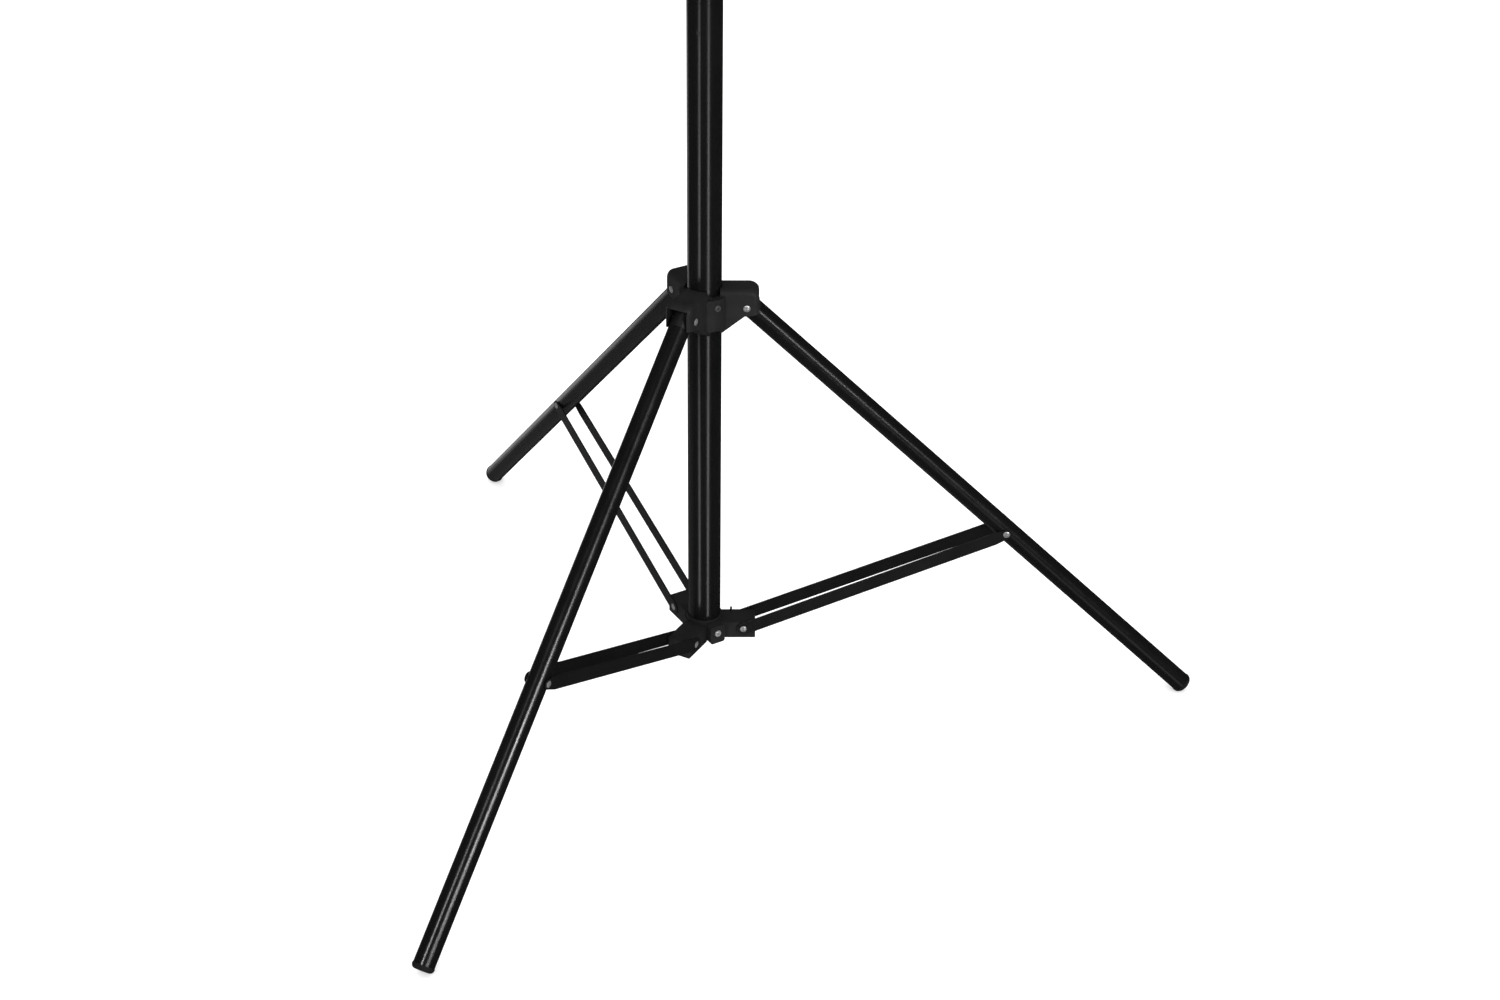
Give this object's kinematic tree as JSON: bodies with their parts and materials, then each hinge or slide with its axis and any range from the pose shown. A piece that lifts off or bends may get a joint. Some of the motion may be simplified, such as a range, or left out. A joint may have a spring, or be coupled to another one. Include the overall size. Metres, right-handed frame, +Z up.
{
  "type": "speaker tripod stand",
  "caption": "Folding tripod stand with a telescoping loudspeaker pole: round tube legs braced to a lower collar by paired flat struts, a sliding leg hub and a clamped mast.",
  "frame": {"origin": "on the floor, on the mast's axis", "axes": "+Z up along the mast and pole, +X over leg 1; legs 2 and 3 stand at 120 and 240 degrees about +Z"},
  "size_m": [0.9351, 1.0756, 1.23],
  "materials": {
    "mast_paint": "gloss black powder coat",
    "pole_paint": "gloss black powder coat",
    "leg_paint": "gloss black powder coat",
    "strut_paint": "satin black powder coat",
    "casting": "moulded glass-filled nylon, fine grain",
    "plug_plastic": "smooth black plastic",
    "liner_plastic": "dark acetal",
    "knob_plastic": "moulded black plastic",
    "foot_rubber": "soft black rubber",
    "rivet_steel": "zinc-plated steel",
    "screw_dark": "black oxide steel",
    "screw_steel": "zinc-plated steel"
  },
  "bodies": {
    "mast": {"mast_tube": "mast_paint", "mast_bottom_plug": "plug_plastic", "mast_guide_bush": "liner_plastic", "guide_bush_rivet": "mast_paint", "mast_top_bush": "liner_plastic", "lower_collar": "casting", "lower_collar_screw": "screw_steel", "clamp_collar": "casting", "clamp_bolt": "screw_steel", "clamp_nut": "screw_steel"},
    "clamp_shoe": {"clamp_shoe": "liner_plastic"},
    "clamp_knob": {"clamp_knob": "knob_plastic", "clamp_stud": "screw_steel"},
    "pole": {"pole_tube": "pole_paint", "pole_top_cap": "plug_plastic", "pole_bottom_guide": "plug_plastic", "pole_guide_rivet": "rivet_steel"},
    "locking_pin": {"locking_pin": "screw_steel"},
    "pin_ring": {"locking_pin_ring": "screw_steel"},
    "hub": {"hub": "casting", "hub_liner": "liner_plastic", "hub_screw": "screw_dark", "leg_pivot_rivets": "rivet_steel"},
    "hub_shoe": {"hub_shoe": "liner_plastic"},
    "hub_knob": {"hub_knob": "knob_plastic", "hub_stud": "screw_steel"},
    "leg_1": {"leg_tube_1": "leg_paint", "leg_top_plug_1": "plug_plastic", "leg_plug_pin_1": "leg_paint", "leg_foot_cap_1": "foot_rubber", "strut_rivet_shank_1": "rivet_steel"},
    "strut_1": {"strut_bar_left_1": "strut_paint", "strut_bar_right_1": "strut_paint", "strut_collar_rivet_1": "rivet_steel", "strut_rivet_heads_1": "rivet_steel"},
    "leg_2": {"leg_tube_2": "leg_paint", "leg_top_plug_2": "plug_plastic", "leg_plug_pin_2": "leg_paint", "leg_foot_cap_2": "foot_rubber", "strut_rivet_shank_2": "rivet_steel"},
    "strut_2": {"strut_bar_left_2": "strut_paint", "strut_bar_right_2": "strut_paint", "strut_collar_rivet_2": "rivet_steel", "strut_rivet_heads_2": "rivet_steel"},
    "leg_3": {"leg_tube_3": "leg_paint", "leg_top_plug_3": "plug_plastic", "leg_plug_pin_3": "leg_paint", "leg_foot_cap_3": "foot_rubber", "strut_rivet_shank_3": "rivet_steel"},
    "strut_3": {"strut_bar_left_3": "strut_paint", "strut_bar_right_3": "strut_paint", "strut_collar_rivet_3": "rivet_steel", "strut_rivet_heads_3": "rivet_steel"}
  },
  "joints": [
    {"name": "hub_slide", "type": "slide", "parent": "mast", "child": "hub", "axis": [0, 0, 1], "range_m": [0, 0.34671]},
    {"name": "pole_slide", "type": "slide", "parent": "mast", "child": "pole", "axis": [0, 0, 1], "range_m": [0, 0.6]},
    {"name": "clamp_knob_turn", "type": "hinge", "parent": "clamp_shoe", "child": "clamp_knob", "pos_m": [0.05, 0, 1.06], "axis": [1, 0, 0], "range_deg": [0, 360]},
    {"name": "clamp_shoe_slide", "type": "slide", "parent": "mast", "child": "clamp_shoe", "axis": [1, 0, 0], "range_m": [0, 0.00126]},
    {"name": "locking_pin_slide", "type": "slide", "parent": "pole", "child": "locking_pin", "axis": [0, -1, 0], "range_m": [0, 0.055]},
    {"name": "pin_ring_swing", "type": "hinge", "parent": "locking_pin", "child": "pin_ring", "pos_m": [0, -0.038, 1.0784], "axis": [-1, 0, 0], "range_deg": [-10, 150]},
    {"name": "hub_knob_turn", "type": "hinge", "parent": "hub_shoe", "child": "hub_knob", "pos_m": [0.02, 0.03464, 0.52939], "axis": [0.5, 0.866, 0], "range_deg": [0, 360]},
    {"name": "hub_shoe_slide", "type": "slide", "parent": "hub", "child": "hub_shoe", "axis": [0.5, 0.866, 0], "range_m": [0, 0.00101]},
    {"name": "leg_1_fold", "type": "hinge", "parent": "hub", "child": "leg_1", "pos_m": [0.0486, 0, 0.54839], "axis": [0, 1, 0], "range_deg": [0, 43.66]},
    {"name": "strut_1_fold", "type": "hinge", "parent": "mast", "child": "strut_1", "pos_m": [0.0486, 0, 0.10436], "axis": [0, -1, 0], "range_deg": [0, 63.73]},
    {"name": "leg_2_fold", "type": "hinge", "parent": "hub", "child": "leg_2", "pos_m": [-0.0243, 0.04209, 0.54839], "axis": [-0.866, -0.5, 0], "range_deg": [0, 43.66]},
    {"name": "strut_2_fold", "type": "hinge", "parent": "mast", "child": "strut_2", "pos_m": [-0.0243, 0.04209, 0.10436], "axis": [0.866, 0.5, 0], "range_deg": [0, 63.73]},
    {"name": "leg_3_fold", "type": "hinge", "parent": "hub", "child": "leg_3", "pos_m": [-0.0243, -0.04209, 0.54839], "axis": [0.866, -0.5, 0], "range_deg": [0, 43.66]},
    {"name": "strut_3_fold", "type": "hinge", "parent": "mast", "child": "strut_3", "pos_m": [-0.0243, -0.04209, 0.10436], "axis": [-0.866, 0.5, 0], "range_deg": [0, 63.73]}
  ],
  "couplings": [
    {"joint": "clamp_shoe_slide", "follows": "clamp_knob_turn", "m_per_rad": 0.00019894},
    {"joint": "hub_shoe_slide", "follows": "hub_knob_turn", "m_per_rad": 0.00015915},
    {"joint": "leg_1_fold", "follows": "hub_slide", "rad_per_m": 2.1968},
    {"joint": "strut_1_fold", "follows": "hub_slide", "rad_per_m": 3.2069},
    {"joint": "leg_2_fold", "follows": "hub_slide", "rad_per_m": 2.1968},
    {"joint": "strut_2_fold", "follows": "hub_slide", "rad_per_m": 3.2069},
    {"joint": "leg_3_fold", "follows": "hub_slide", "rad_per_m": 2.1968},
    {"joint": "strut_3_fold", "follows": "hub_slide", "rad_per_m": 3.2069}
  ]
}
